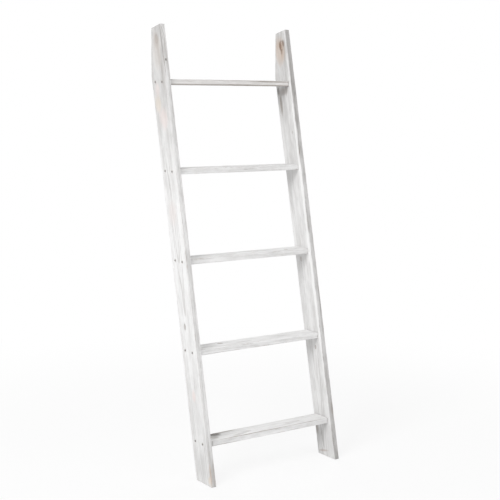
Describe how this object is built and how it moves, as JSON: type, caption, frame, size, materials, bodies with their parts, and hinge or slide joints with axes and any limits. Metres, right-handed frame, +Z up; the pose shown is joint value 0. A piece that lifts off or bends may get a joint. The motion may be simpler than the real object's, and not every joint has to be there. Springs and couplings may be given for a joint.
{
  "type": "blanket ladder",
  "caption": "Leaning wooden blanket ladder: two side rails cut level at the foot and plumb at the wall, with level flat rungs nailed between them.",
  "frame": {"origin": "on the floor, midway between the two rails and midway between the rails' toes and the wall", "axes": "+X across the ladder to the right-hand rail as seen from the front, +Y back towards the wall, +Z up; the ladder stands as it does in use, leaning 12 degrees back"},
  "size_m": [0.522, 0.3686, 1.4672],
  "materials": {
    "rail_wood": "whitewashed, worn along the edges, matt",
    "rung_wood": "whitewashed, worn along the edges, matt",
    "nail_steel": "dull dark steel"
  },
  "bodies": {
    "root": {"rail_left": "rail_wood", "rail_right": "rail_wood", "rung_1": "rung_wood", "rung_2": "rung_wood", "rung_3": "rung_wood", "rung_4": "rung_wood", "rung_5": "rung_wood", "nails_left_rung_1": "nail_steel", "nails_left_rung_2": "nail_steel", "nails_left_rung_3": "nail_steel", "nails_left_rung_4": "nail_steel", "nails_left_rung_5": "nail_steel", "nails_right_rung_1": "nail_steel", "nails_right_rung_2": "nail_steel", "nails_right_rung_3": "nail_steel", "nails_right_rung_4": "nail_steel", "nails_right_rung_5": "nail_steel"}
  },
  "joints": []
}
